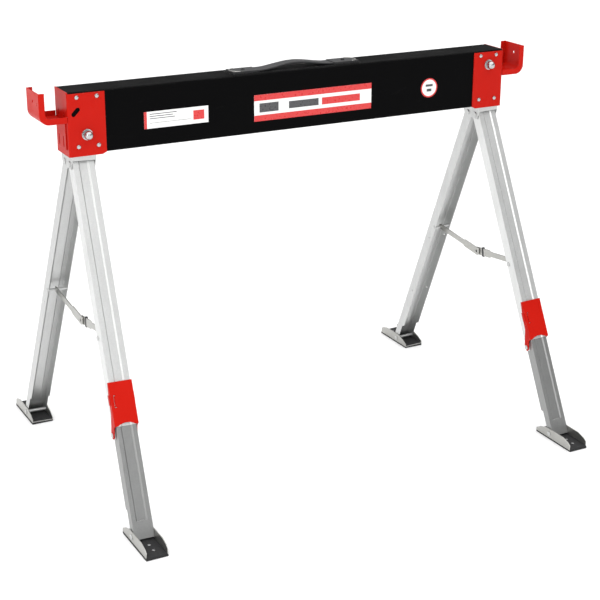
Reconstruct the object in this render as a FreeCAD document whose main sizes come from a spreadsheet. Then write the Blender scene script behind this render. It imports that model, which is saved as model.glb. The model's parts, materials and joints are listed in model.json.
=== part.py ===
import FreeCAD, Part
import Sketcher
import math
import os
import re

# Folding steel sawhorse.
# World frame: origin on the floor under the middle of the beam, +X along the beam, +Y to the rear, +Z up.
# End frame: as the world frame, but +X points out of the beam at that end.
# The left end is turned half round.
# Swing frame: origin on the pivot bolt, turned as the end frame and tilted outward,
# so that the legs also spread along X.
# Leg frame: in the swing frame, origin on the leg's top hinge pin, -Z down the leg, -Y out of the A-frame.
# Foot frame: in the swing frame, origin on the foot's pin, -Y towards the toe of the foot.

SIZES = {
    # beam
    "length": 1015, "height": 825, "beam_width": 68, "beam_depth": 123, "beam_wall": 1.5,
    "beam_corner": 2.5, "recess_length": 300, "recess_width": 44, "recess_depth": 0.8,
    # red end caps
    "cap_width": 72, "cap_depth": 127, "cap_reach": 77, "cap_plate": 2, "cap_corner": 3,
    "cap_shy": 3,
    "cap_nose_run": 8, "cap_nose_rise": 4,
    "rivet_radius": 2.5, "rivet_head": 4, "rivet_proud": 1.6, "rivet_top": 10.5,
    "rivet_low": 15.5, "rivet_outer": 19.5, "rivet_inner": 16.5,
    "slot_pitch": 32, "slot_width": 4, "upper_slot_top": 40, "upper_slot_low": 52,
    "lower_slot_top": 88, "lower_slot_low": 110,
    "oval_inset": 17, "oval_drop": 39, "oval_reach": 4.2, "oval_radius": 4.6,
    # pivot bolts: the left pair of legs folds under the right pair
    "bolt_inset": 38, "bolt_drop_left": 84.6, "bolt_drop_right": 31.2, "bolt_radius": 5,
    "hex_radius": 9.2, "hex_height": 6.5, "washer_radius": 11, "washer_plate": 1.6, "thread_proud": 2.5,
    "bush_radius": 8, "bush_gap": 1, "running_gap": 0.06,
    # leg carrier
    "end_splay": 1.9, "leg_offset": 5.2, "carrier_side": 24.8, "carrier_half_depth": 30.7,
    "carrier_plate": 2,
    "carrier_crown": 10, "carrier_skirt": 9, "ear_slope": 8,
    # legs
    "hinge_height": 679, "lane": 14.3, "splay": 25, "hinge_pin_radius": 4, "pin_head": 6.5,
    "pin_proud": 1.5,
    "leg_width": 44.5, "leg_depth": 25, "leg_wall": 1.3, "panel_half": 10.5, "panel_step": 2.4,
    "panel_inset": 1.5, "nest_gap": 0.25,
    "leg_crown": 7, "crown_slope": 5, "upper_leg_end": 545, "web_end": 521,
    "lower_leg_top": 395, "panel_stop": 28, "mark_width": 9, "mark_depth": 0.8,
    "mark_near": 1, "mark_far": 3,
    "heel_near": 5.9, "heel_far": 14, "heel_rise": 50, "heel_slope": 6, "heel_fall": 9,
    "side_hole_radius": 2.2, "side_hole_high": 381, "side_hole_low": 561,
    # folding brace
    "brace_drop": 345, "brace_inset": 7, "brace_pin_radius": 3, "brace_pin_head": 5, "brace_sag": 6.4,
    "link_plate": 2.5, "link_gap": 0.5, "link_half": 6, "link_wide": 9, "link_tip": 9,
    "link_flare": 48, "link_taper": 8, "link_end_round": 5.5, "link_tip_round": 6, "rivet_gap": 0.3,
    "collar_start": 24, "collar_length": 6, "collar_wall": 2,
    # latch clamp of the telescopic legs
    "latch_top": 434, "latch_low": 520, "latch_pin_drop": 536, "latch_pin_inset": 8, "latch_plate": 2,
    "latch_gap": 0.3, "latch_pin_radius": 3, "latch_ear_root": 7, "latch_ear_drop": 4,
    "notch_below": 29, "notch_radius": 34, "overcut": 0.1,
    "tab_proud": 1.4, "tab_start": 24, "tab_end": 44, "tab_depth": 8,
    "slit_side": 18, "slit_reach": 4.5, "slit_width": 1.2, "slit_start": 26, "slit_end": 50,
    # feet
    "foot_pin_height": 13.5, "foot_pin_radius": 4, "foot_pin_head": 5.2, "foot_side_gap": 0.5,
    "foot_plate": 1.5,
    "toe": 76, "heel": 46, "pad_sole": 4, "pad_top": 1.5, "pad_gap": 0.3, "lip": 2,
    "foot_screw_radius": 3.2, "foot_screw_root": 2, "foot_screw_proud": 1.4,
    "flange_heel": 7, "flange_heel_run": 14, "flange_top": 12, "flange_shoulder": 8, "flange_level": 48,
    "flange_toe": 11, "flange_toe_run": 9, "foot_screw_near": 34, "foot_screw_far": 56,
    # saddles for a rail of timber
    "saddle_reach": 56, "saddle_width": 72, "saddle_plate": 2, "saddle_gap": 0.3, "saddle_drop": 59,
    "lip_rise": 3, "saddle_rim": 12, "saddle_bend": 20, "lip_hole_radius": 3, "lip_hole_drop": 20,
    "tongue_drop": 114, "tongue_width": 50, "tongue_slot": 4.5,
    "hook_plate": 2.5, "hook_neck": 9, "hook_tab": 8, "hook_gap": 0.1,
    # carry handle
    "strap_width": 30, "strap_plate": 3, "strap_half": 140, "arch_foot": 70, "arch_crown": 14,
    "arch_rise": 12, "arch_shift": 0.5, "arch_round_low": 80, "arch_round_high": 84,
    "anchor_start": 88, "anchor_end": 146, "anchor_width": 38, "anchor_plate": 2,
    "anchor_hole_radius": 2.5, "anchor_screw_radius": 4, "anchor_screw_proud": 1.5,
    # stickers on the front of the beam, from the middle of the beam and down from its top
    "wide_label_left": -108, "wide_label_right": 170, "wide_label_top": 44, "wide_label_low": 99,
    "small_label_left": -350, "small_label_right": -211, "small_label_top": 54, "small_label_low": 88,
    "round_label_x": 316, "round_label_drop": 69, "round_label_radius": 21, "label_plate": 0.3,
}

# Lengths that follow from the driving sizes.
TERMS = {
    "half_length": "length / 2",
    "beam_half": "beam_width / 2",
    "cap_half": "cap_width / 2",
    "beam_low": "height - beam_depth",
    "cap_low": "height - cap_depth",
    "cap_middle": "height - cap_depth / 2",
    "bolt_x": "half_length - bolt_inset",
    "bolt_z_left": "height - bolt_drop_left",
    "bolt_z_right": "height - bolt_drop_right",
    "tip_sin": "sin(end_splay * 1 deg)",
    "tip_cos": "cos(end_splay * 1 deg)",
    "hang_left": "(bolt_z_left - hinge_height + leg_offset * tip_sin) / tip_cos",
    "hang_right": "(bolt_z_right - hinge_height + leg_offset * tip_sin) / tip_cos",
    "leg_half": "leg_width / 2",
    "depth_half": "leg_depth / 2",
    "lower_half": "leg_half - leg_wall - nest_gap",
    "leg_run": "(hinge_height - foot_pin_height) / (cos(splay * 1 deg) * tip_cos)",
    "foot_y": "lane + leg_run * sin(splay * 1 deg)",
    "foot_fall": "leg_run * cos(splay * 1 deg)",
    "brace_y": "lane + brace_drop * sin(splay * 1 deg) - brace_inset * cos(splay * 1 deg)",
    "brace_fall": "brace_drop * cos(splay * 1 deg) + brace_inset * sin(splay * 1 deg)",
    "link_run": "brace_y / cos(brace_sag * 1 deg)",
    "link_near": "link_gap",
    "link_far": "link_gap + link_plate",
    "saddle_in": "half_length + saddle_gap",
    "saddle_out": "half_length + saddle_reach",
    "saddle_low": "height - saddle_drop",
    "saddle_top": "height + lip_rise",
    "strap_low": "height - recess_depth",
    "sole": "0 - foot_pin_height",
    "plate_low": "sole + pad_sole",
    "plate_top": "plate_low + foot_plate",
}

# Curve that trims the lower end of each leg: distance inward of the foot pin, and below it.
SOLE_CURVE = ((-14, 8), (-3, 5.9), (2, 5.6), (4.6, 3.8), (5.8, 1), (7, 1))
# Side of the latch: distance behind its face, and below its top.
LATCH_SIDE = ((3, 0), (9, 34), (10, 62))
# Ear of the latch, round its pin: distance behind the pin, and above it.
LATCH_EAR = ((1, 14), (5.5, 5), (5.5, -4), (1, -8), (-6, -6))

WORD = re.compile(r"[a-z]\w+")
ENDS = {"left": 180, "right": 0}
SIDES = {"front": 0, "rear": 180}
PLANES = {"XY": "XY_Plane", "XZ": "XZ_Plane", "YZ": "YZ_Plane"}

doc = FreeCAD.newDocument("FoldingSawhorse")
sheet = doc.addObject("Spreadsheet::Sheet", "Sizes")
pieces = []


def fill_sheet():
    """Writes each driving size into the sheet as a plain number with an alias."""
    for row, (name, value) in enumerate(SIZES.items(), start=1):
        sheet.set(f"A{row}", name)
        sheet.set(f"B{row}", str(value))
        sheet.setAlias(f"B{row}", name)
    doc.recompute()


def formula(text):
    """Turns a plain formula into one that reads the sheet."""

    def expand(match):
        word = match.group()
        if word in SIZES:
            return f"Sizes.{word}"
        if word in TERMS:
            return f"({formula(TERMS[word])})"
        return word

    return WORD.sub(expand, str(text))


def number(text):
    """The present value of a formula."""
    return float(sheet.evalExpression(formula(text)))


def rectangle(low_u, low_v, high_u, high_v):
    """The four corners of an upright rectangle."""
    return [(low_u, low_v), (high_u, low_v), (high_u, high_v), (low_u, high_v)]


def circle(u, v, radius):
    """A round outline."""
    return {"centre": (u, v), "radius": radius}


def hexagon(u, v, radius):
    """The corners of a hexagon nut or bolt head."""
    corners = []
    for step in range(6):
        angle = math.radians(60 * step)
        across, upward = f"{math.cos(angle):.5f}", f"{math.sin(angle):.5f}"
        corners.append((f"{u} + {radius} * {across}", f"{v} + {radius} * {upward}"))
    return corners


class Piece:
    """One sub-part: a PartDesign body whose sketches and features are bound to the sheet."""

    def __init__(self, name):
        self.body = doc.addObject("PartDesign::Body", name)
        self.body.Label = name
        self.count = 0
        pieces.append(self.body)

    def plane(self, name):
        role = PLANES[name]
        return next(item for item in self.body.Origin.OriginFeatures if item.Role == role)

    def sketch(self, plane, outlines, level):
        """A sketch on an origin plane, moved to a level along the plane's axis."""
        self.count += 1
        drawing = self.body.newObject("Sketcher::SketchObject", f"{self.body.Name}_outline{self.count}")
        drawing.AttachmentSupport = (self.plane(plane), [""])
        drawing.MapMode = "FlatFace"
        level = f"-1 * ({level})" if plane == "XZ" else level
        drawing.setExpression("AttachmentOffset.Base.z", formula(level))
        for outline in outlines:
            if isinstance(outline, dict):
                self.draw_circle(drawing, outline)
            else:
                self.draw_polygon(drawing, outline)
        return drawing

    def fix(self, drawing, kind, geometry, point, text):
        """Ties one coordinate of a sketch point to a formula."""
        rule = Sketcher.Constraint(kind, -1, 1, geometry, point, number(text))
        index = drawing.addConstraint(rule)
        drawing.setExpression(f"Constraints[{index}]", formula(text))

    def fix_radius(self, drawing, geometry, text):
        """Ties the radius of a circle or an arc to a formula."""
        index = drawing.addConstraint(Sketcher.Constraint("Radius", geometry, number(text)))
        drawing.setExpression(f"Constraints[{index}]", formula(text))

    def draw_polygon(self, drawing, corners):
        """Draws a closed outline; a corner's third entry is the radius of the arc that arrives there.

        The name of a turn, "left" or "right", says which way that arc bends.
        """
        places = [FreeCAD.Vector(number(corner[0]), number(corner[1]), 0) for corner in corners]
        joints = []
        for step, place in enumerate(places):
            after = (step + 1) % len(places)
            arc = corners[after][2:]
            if arc:
                joints.append(self.draw_arc(drawing, place, places[after], *arc))
            else:
                index = drawing.addGeometry(Part.LineSegment(place, places[after]))
                joints.append((index, 1, 2))
        for step, (index, start, finish) in enumerate(joints):
            following = joints[(step + 1) % len(joints)]
            rule = Sketcher.Constraint("Coincident", index, finish, following[0], following[1])
            drawing.addConstraint(rule)
            self.fix(drawing, "DistanceX", index, start, corners[step][0])
            self.fix(drawing, "DistanceY", index, start, corners[step][1])

    def draw_arc(self, drawing, start, finish, radius, turn):
        """An arc between two places; returns its number and its start and finish points."""
        size = number(radius)
        chord = finish - start
        left = FreeCAD.Vector(-chord.y, chord.x, 0).normalize()
        reach = math.sqrt(max(size**2 - (chord.Length / 2) ** 2, 0))
        centre = start + chord / 2 + left * (reach if turn == "left" else -reach)
        round_curve = Part.Circle(centre, FreeCAD.Vector(0, 0, 1), size)
        first, last = (start, finish) if turn == "left" else (finish, start)
        angles = [math.atan2(place.y - centre.y, place.x - centre.x) for place in (first, last)]
        if angles[1] < angles[0]:
            angles[1] += 2 * math.pi
        index = drawing.addGeometry(Part.ArcOfCircle(round_curve, *angles))
        self.fix_radius(drawing, index, radius)
        return (index, 1, 2) if turn == "left" else (index, 2, 1)

    def draw_circle(self, drawing, outline):
        u, v = outline["centre"]
        radius = outline["radius"]
        centre = FreeCAD.Vector(number(u), number(v), 0)
        curve = Part.Circle(centre, FreeCAD.Vector(0, 0, 1), number(radius))
        index = drawing.addGeometry(curve)
        self.fix(drawing, "DistanceX", index, 3, u)
        self.fix(drawing, "DistanceY", index, 3, v)
        self.fix_radius(drawing, index, radius)

    def add(self, plane, low, high, *outlines):
        """Pads outlines between two levels along the plane's axis."""
        drawing = self.sketch(plane, outlines, low)
        feature = self.body.newObject("PartDesign::Pad", f"{self.body.Name}_pad{self.count}")
        feature.Profile = drawing
        feature.Reversed = plane == "XZ"
        feature.setExpression("Length", formula(f"({high}) - ({low})"))
        self.body.Tip = feature

    def cut(self, plane, low, high, *outlines):
        """Pockets outlines between two levels along the plane's axis."""
        start = low if plane == "XZ" else high
        drawing = self.sketch(plane, outlines, start)
        feature = self.body.newObject("PartDesign::Pocket", f"{self.body.Name}_pocket{self.count}")
        feature.Profile = drawing
        feature.setExpression("Length", formula(f"({high}) - ({low})"))
        self.body.Tip = feature

    def bend(self, radius, axis, *places):
        """Rounds the edges that run along an axis through the given places."""
        doc.recompute()
        names = [edge_name(self.body.Tip.Shape, axis, place) for place in places]
        self.count += 1
        base = self.body.Tip
        feature = self.body.newObject("PartDesign::Fillet", f"{self.body.Name}_bend{self.count}")
        feature.Base = (base, names)
        feature.setExpression("Radius", formula(radius))
        self.body.Tip = feature

    def place(self, x, y, z, rotation):
        """Puts the body in the world: turned, then moved."""
        self.body.Placement = FreeCAD.Placement(FreeCAD.Vector(0, 0, 0), rotation)
        for axis, text in (("x", x), ("y", y), ("z", z)):
            self.body.setExpression(f"Placement.Base.{axis}", formula(text))


def edge_name(shape, axis, place):
    """The name of the straight edge along an axis that passes nearest to a place."""
    direction = FreeCAD.Vector(*[1 if name == axis else 0 for name in "XYZ"])
    target = Part.Vertex(FreeCAD.Vector(*[number(part) for part in place]))
    best = None
    for index, edge in enumerate(shape.Edges, start=1):
        if not isinstance(edge.Curve, Part.Line):
            continue
        if abs(edge.tangentAt(edge.FirstParameter).dot(direction)) < 0.999:
            continue
        gap = edge.distToShape(target)[0]
        if best is None or gap < best[0]:
            best = (gap, f"Edge{index}")
    return best[1]


def about(axis, degrees):
    """A rotation about one axis."""
    vectors = {"X": FreeCAD.Vector(1, 0, 0), "Y": FreeCAD.Vector(0, 1, 0), "Z": FreeCAD.Vector(0, 0, 1)}
    return FreeCAD.Rotation(vectors[axis], degrees)


def end_frame(piece, end):
    """Places a piece drawn in the end frame."""
    piece.place("0", "0", "0", about("Z", ENDS[end]))


def swing_frame(piece, end, fall="0", y="0", offset="0", inner=None):
    """Places a piece drawn about a point of the swing frame.

    The point lies offset outward of the bolt, at y, and fall below it; inner is a rotation within the frame.
    """
    x = f"bolt_x + ({offset}) * tip_cos + ({fall}) * tip_sin"
    x = x if end == "right" else f"-1 * ({x})"
    z = f"bolt_z_{end} + ({offset}) * tip_sin - ({fall}) * tip_cos"
    rotation = about("Z", ENDS[end]) * about("Y", -SIZES["end_splay"])
    if inner:
        rotation = rotation * inner
    piece.place(x, y if end == "right" else f"-1 * ({y})", z, rotation)


def in_swing(piece, end, side, y, fall, tilt):
    """Places a piece of the front or rear leg, whose own -Y points out of the A-frame."""
    turned = end == "left"
    faces_front = (side == "front") != turned
    sign = "-1" if faces_front else "1"
    inner = about("Z", 0 if faces_front else 180) * about("X", tilt)
    swing_frame(piece, end, f"hang_{end} + ({fall})", f"{sign} * ({y})", "leg_offset", inner)


def leg_frame(piece, end, side):
    """Places a piece drawn in the leg frame."""
    in_swing(piece, end, side, "lane", "0", -SIZES["splay"])


def foot_frame(piece, end, side):
    """Places a piece drawn in the foot frame."""
    in_swing(piece, end, side, "foot_y", "foot_fall", 0)


def link_frame(piece, end, side):
    """Places a piece drawn with its origin on a brace pin and +Y along the sagging link."""
    in_swing(piece, end, side, "brace_y", "brace_fall", -SIZES["brace_sag"])


def rivet_places():
    """The four rivets of one cap plate: two by the end, two by the inner edge."""
    outer = "half_length - rivet_outer"
    inner = "half_length - cap_reach + rivet_inner"
    high = "height - rivet_top"
    low = "beam_low + rivet_low"
    return [(outer, high), (outer, low), (inner, high), (inner, low)]


def make_beam():
    """Black box beam: a channel with its mouth down, which swallows the folded legs."""
    beam = Piece("beam_shell")
    run = "half_length - cap_plate"
    beam.add("YZ", f"-1 * ({run})", run, rectangle("-1 * beam_half", "beam_low", "beam_half", "height"))
    inner = "beam_half - beam_wall"
    mouth = rectangle(f"-1 * ({inner})", "beam_low - 1", inner, "height - beam_wall")
    beam.cut("YZ", "-1 * half_length", "half_length", mouth)
    beam.bend("beam_corner", "X", ("0", "-1 * beam_half", "height"), ("0", "beam_half", "height"))
    side, edge = "0.5 * recess_length", "0.5 * recess_width"
    recess = rectangle(f"-1 * {side}", f"-1 * {edge}", side, edge)
    beam.cut("XY", "height - recess_depth", "height + 1", recess)
    holes = []
    for end, sign in (("left", "-1 * "), ("right", "")):
        holes.append(circle(f"{sign}(bolt_x)", f"height - bolt_drop_{end}", "bolt_radius + running_gap"))
        for x, z in rivet_places():
            holes.append(circle(f"{sign}({x})", z, "rivet_radius"))
    beam.cut("XZ", "-1 * cap_width", "cap_width", *holes)


def make_end_cap(end):
    """Red pressed cap: a front, a rear and an end plate, lapped over the end of the beam."""
    cap = Piece(f"end_cap_{end}")
    inner = "half_length - cap_reach"
    outline = [
        (inner, "height"),
        ("half_length", "height"),
        ("half_length", "cap_low"),
        (f"{inner} + cap_nose_run", "cap_low"),
        (inner, "cap_low + cap_nose_rise"),
    ]
    cap.add("XZ", "-1 * cap_half", "cap_half", outline)
    room = rectangle("-1 * beam_half", "cap_low - 1", "beam_half", "height + 1")
    cap.cut("YZ", f"{inner} - 1", "half_length - cap_plate", room)
    corners = [("half_length", f"{sign} * cap_half", "cap_middle") for sign in ("-1", "1")]
    cap.bend("cap_corner", "Z", *corners)
    tops = []
    for sign in ("-1", "1"):
        near, far = f"{sign} * (beam_half - 1)", f"{sign} * (cap_half + 1)"
        tops.append(rectangle(near, "height - cap_shy", far, "height + 1"))
    cap.cut("YZ", f"{inner} - 1", "half_length - cap_plate", *tops)
    slots = []
    for sign in ("-1", "1"):
        low = f"{sign} * 0.5 * slot_pitch - 0.5 * slot_width"
        high = f"{sign} * 0.5 * slot_pitch + 0.5 * slot_width"
        slots.append(rectangle(low, "height - upper_slot_low", high, "height - upper_slot_top"))
        slots.append(rectangle(low, "height - lower_slot_low", high, "height - lower_slot_top"))
    cap.cut("YZ", "half_length - cap_plate - 1", "half_length + 1", *slots)
    holes = [circle(x, z, "rivet_radius") for x, z in rivet_places()]
    holes.append(circle("bolt_x", f"height - bolt_drop_{end}", "bolt_radius + running_gap"))
    cap.cut("XZ", "-1 * cap_width", "cap_width", *holes)
    if end == "left":
        cut_oval(cap)
    end_frame(cap, end)


def cut_oval(cap):
    """The slanted oval slot, open where the other pivot height isn't used: front plate only."""
    x, z = "half_length - oval_inset", "height - oval_drop"
    front = ("beam_half - 0.1", "cap_half + 1")
    ends = [(f"{x} - oval_reach", f"{z} + oval_reach"), (f"{x} + oval_reach", f"{z} - oval_reach")]
    for u, v in ends:
        cap.cut("XZ", *front, circle(u, v, "oval_radius"))
    across = "oval_radius * 0.7071"
    (u1, v1), (u2, v2) = ends
    bridge = [
        (f"{u1} + {across}", f"{v1} + {across}"),
        (f"{u1} - {across}", f"{v1} - {across}"),
        (f"{u2} - {across}", f"{v2} - {across}"),
        (f"{u2} + {across}", f"{v2} + {across}"),
    ]
    cap.cut("XZ", *front, bridge)


def make_cap_rivets():
    """Rivets that hold both caps on the beam."""
    rivets = Piece("cap_rivets")
    places = []
    for sign in ("-1", "1"):
        places.extend((f"{sign} * ({x})", z) for x, z in rivet_places())
    shanks = [circle(x, z, "rivet_radius") for x, z in places]
    heads = [circle(x, z, "rivet_head") for x, z in places]
    inner = "beam_half - beam_wall"
    rivets.add("XZ", inner, "cap_half", *shanks)
    rivets.add("XZ", "cap_half", "cap_half + rivet_proud", *heads)
    rivets.add("XZ", "-1 * cap_half", f"-1 * ({inner})", *shanks)
    rivets.add("XZ", "-1 * (cap_half + rivet_proud)", "-1 * cap_half", *heads)


def make_pivot_bolt(end):
    """Hexagon bolt across the beam on which one pair of legs folds, with its washer."""
    x, z = ("bolt_x" if end == "right" else "-1 * (bolt_x)"), f"height - bolt_drop_{end}"
    bolt = Piece(f"pivot_bolt_{end}")
    face = "-1 * cap_half"
    under = f"{face} - washer_plate"
    bolt.add("XZ", face, "cap_half + washer_plate + hex_height + thread_proud", circle(x, z, "bolt_radius"))
    bolt.add("XZ", under, face, circle(x, z, "washer_radius"))
    bolt.add("XZ", f"{under} - hex_height", under, hexagon(x, z, "hex_radius"))
    tip = f"{under} - hex_height - thread_proud"
    bolt.add("XZ", tip, f"{under} - hex_height", circle(x, z, "bolt_radius"))


def make_pivot_nut(end):
    """Washer and hexagon nut at the rear end of the pivot bolt."""
    x, z = ("bolt_x" if end == "right" else "-1 * (bolt_x)"), f"height - bolt_drop_{end}"
    nut = Piece(f"pivot_nut_{end}")
    nut.add("XZ", "cap_half", "cap_half + washer_plate", circle(x, z, "washer_radius"))
    top = "cap_half + washer_plate + hex_height"
    nut.add("XZ", "cap_half + washer_plate", top, hexagon(x, z, "hex_radius"))
    nut.cut("XZ", "cap_half - 1", f"{top} + 1", circle(x, z, "bolt_radius"))


def make_pivot_bush(end):
    """Steel tube that turns on the pivot bolt inside the beam."""
    bush = Piece(f"pivot_bush_{end}")
    half = "beam_half - beam_wall - bush_gap"
    ring = (circle("0", "0", "bush_radius"), circle("0", "0", "bolt_radius + running_gap"))
    bush.add("XZ", f"-1 * ({half})", half, *ring)
    swing_frame(bush, end)


def make_carrier(end):
    """Folded plate box that carries two leg hinge pins and swings on the pivot bush."""
    carrier = Piece(f"leg_carrier_{end}")
    inner, outer = "leg_offset - carrier_side", "leg_offset + carrier_side"
    pin_level = f"-1 * (hang_{end})"
    low, mouth_top = f"{pin_level} - carrier_skirt", f"{pin_level} + carrier_skirt"
    outline = [
        (inner, low),
        (outer, low),
        (outer, "0"),
        (f"{outer} - carrier_crown", "carrier_crown"),
        (inner, "carrier_crown"),
    ]
    depth = "carrier_half_depth"
    carrier.add("XZ", f"-1 * {depth}", depth, outline)
    low_x, high_x = f"{inner} + carrier_plate", f"{outer} - carrier_plate"
    room = rectangle(low_x, f"-1 * ({depth} - carrier_plate)", high_x, f"{depth} - carrier_plate")
    carrier.cut("XY", f"{low} - 1", "carrier_crown + 1", room)
    across = (f"-1 * {depth} - 1", f"{depth} + 1")
    carrier.cut("XZ", *across, rectangle(low_x, f"{low} - 1", high_x, mouth_top))
    along = (f"{inner} - 1", f"{outer} + 1")
    slopes = []
    for sign in ("-1", "1"):
        slopes.append([
            (f"{sign} * ({depth} + 1)", f"{low} - 1"),
            (f"{sign} * ({depth} - ear_slope)", f"{low} - 1"),
            (f"{sign} * ({depth} + 1)", mouth_top),
        ])
    carrier.cut("YZ", *along, *slopes)
    carrier.cut("XZ", *across, circle("0", "0", "bush_radius + running_gap"))
    pins = [circle(f"{sign} * lane", pin_level, "hinge_pin_radius") for sign in ("-1", "1")]
    carrier.cut("YZ", *along, *pins)
    swing_frame(carrier, end)


def make_hinge_pins(end):
    """Two riveted pins along X, on which the front and the rear leg of one end open."""
    pins = Piece(f"leg_hinge_pins_{end}")
    pin_level = f"-1 * (hang_{end})"
    shanks = [circle(f"{sign} * lane", pin_level, "hinge_pin_radius") for sign in ("-1", "1")]
    heads = [circle(f"{sign} * lane", pin_level, "pin_head") for sign in ("-1", "1")]
    inner, outer = "leg_offset - carrier_side", "leg_offset + carrier_side"
    pins.add("YZ", inner, outer, *shanks)
    pins.add("YZ", f"{inner} - pin_proud", inner, *heads)
    pins.add("YZ", outer, f"{outer} + pin_proud", *heads)
    swing_frame(pins, end)


def channel(half, outer, inner, panel):
    """Section of a leg: a channel open towards +Y with a pressed-in panel down its web."""
    wall = "leg_wall"
    side = f"({half}) - {wall}"
    web = f"({outer}) + {wall}"
    return [
        (f"-1 * ({half})", inner),
        (f"-1 * ({half})", outer),
        (f"-1 * ({panel})", outer),
        (f"-1 * ({panel}) + panel_step", f"({outer}) + panel_step"),
        (f"({panel}) - panel_step", f"({outer}) + panel_step"),
        (panel, outer),
        (half, outer),
        (half, inner),
        (side, inner),
        (side, web),
        (f"({panel}) + 0.5 * panel_step", web),
        (f"({panel}) - 0.5 * panel_step", f"{web} + panel_step"),
        (f"-1 * ({panel}) + 0.5 * panel_step", f"{web} + panel_step"),
        (f"-1 * ({panel}) - 0.5 * panel_step", web),
        (f"-1 * ({side})", web),
        (f"-1 * ({side})", inner),
    ]


def plain_channel(half, outer, inner):
    """Section of a leg below its panel: a plain channel open towards +Y."""
    side = f"({half}) - leg_wall"
    web = f"({outer}) + leg_wall"
    return [
        (f"-1 * ({half})", inner),
        (f"-1 * ({half})", outer),
        (half, outer),
        (half, inner),
        (side, inner),
        (side, web),
        (f"-1 * ({side})", web),
        (f"-1 * ({side})", inner),
    ]


def shape_leg_top(leg):
    """Rounds off the hinge end of a leg and bores it for the hinge pin."""
    reach = ("-1 * leg_width", "leg_width")
    corner = [
        ("depth_half + 1", "leg_crown - crown_slope"),
        ("depth_half + 1", "leg_crown + 1"),
        ("depth_half - crown_slope", "leg_crown + 1"),
        ("depth_half - crown_slope", "leg_crown"),
        ("depth_half", "leg_crown - crown_slope"),
    ]
    leg.cut("YZ", *reach, corner)
    bores = [circle("0", "0", "hinge_pin_radius + running_gap")]
    bores.append(circle("brace_inset", "-1 * brace_drop", "brace_pin_radius"))
    leg.cut("YZ", *reach, *bores)


def shape_leg_foot(leg, half, outer, inner):
    """Closes a leg with a plain stretch shaped to clear the foot that swings round its end."""
    stop = "panel_stop - leg_run"
    leg.add("XY", "-1 * (leg_run) - 8", stop, plain_channel(half, outer, inner))
    reach = ("-1 * leg_width", "leg_width")
    end = "-1 * (leg_run)"
    trim = [
        ("heel_near", f"{end} - heel_fall"),
        ("heel_far", f"{end} - heel_fall"),
        ("heel_far", f"{end} + heel_rise + heel_slope"),
        ("heel_near", f"{end} + heel_rise"),
    ]
    leg.cut("YZ", *reach, trim)
    sole = [(str(inward), f"{end} - {below}") for inward, below in SOLE_CURVE]
    sole.append((sole[-1][0], f"{end} - heel_fall"))
    sole.append((sole[0][0], f"{end} - heel_fall"))
    leg.cut("YZ", *reach, sole)
    leg.cut("YZ", *reach, circle("0", end, "foot_pin_radius + running_gap"))
    mark = rectangle("-0.5 * mark_width", f"{stop} + mark_near", "0.5 * mark_width", f"{stop} + mark_far")
    leg.cut("XZ", f"{outer} - 1", f"{outer} + panel_step + mark_depth", mark)


def make_rear_leg(end):
    """Galvanised channel leg in one piece."""
    leg = Piece(f"rear_leg_{end}")
    section = channel("leg_half", "-1 * depth_half", "depth_half", "panel_half")
    leg.add("XY", "panel_stop - leg_run", "leg_crown", section)
    shape_leg_top(leg)
    shape_leg_foot(leg, "leg_half", "-1 * depth_half", "depth_half")
    holes = [circle("2", f"-1 * side_hole_{level}", "side_hole_radius") for level in ("high", "low")]
    leg.cut("YZ", "-1 * leg_width", "leg_width", *holes)
    leg_frame(leg, end, "rear")


def make_upper_leg(end):
    """Outer half of a telescopic front leg; its flanges run on below the web as ears for the latch."""
    leg = Piece(f"upper_leg_{end}")
    section = channel("leg_half", "-1 * depth_half", "depth_half", "panel_half")
    leg.add("XY", "-1 * upper_leg_end", "leg_crown", section)
    shape_leg_top(leg)
    reach = ("-1 * leg_width", "leg_width")
    notch = [
        ("-1 * depth_half - 1", "-1 * upper_leg_end - 1"),
        ("-1 * depth_half - 1", "-1 * web_end"),
        ("-2", "-1 * web_end"),
        ("2", "-1 * upper_leg_end - 1"),
    ]
    leg.cut("YZ", *reach, notch)
    leg.cut("YZ", *reach, circle("latch_pin_inset", "-1 * latch_pin_drop", "latch_pin_radius"))
    leg_frame(leg, end, "front")


def make_lower_leg(end):
    """Inner half of a telescopic front leg: a smaller channel nested in the upper one."""
    leg = Piece(f"lower_leg_{end}")
    outer = "-1 * depth_half + leg_wall + nest_gap"
    inner = "depth_half - nest_gap"
    section = channel("lower_half", outer, inner, "panel_half + panel_inset")
    leg.add("XY", "panel_stop - leg_run", "-1 * lower_leg_top", section)
    shape_leg_foot(leg, "lower_half", outer, inner)
    leg_frame(leg, end, "front")


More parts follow.
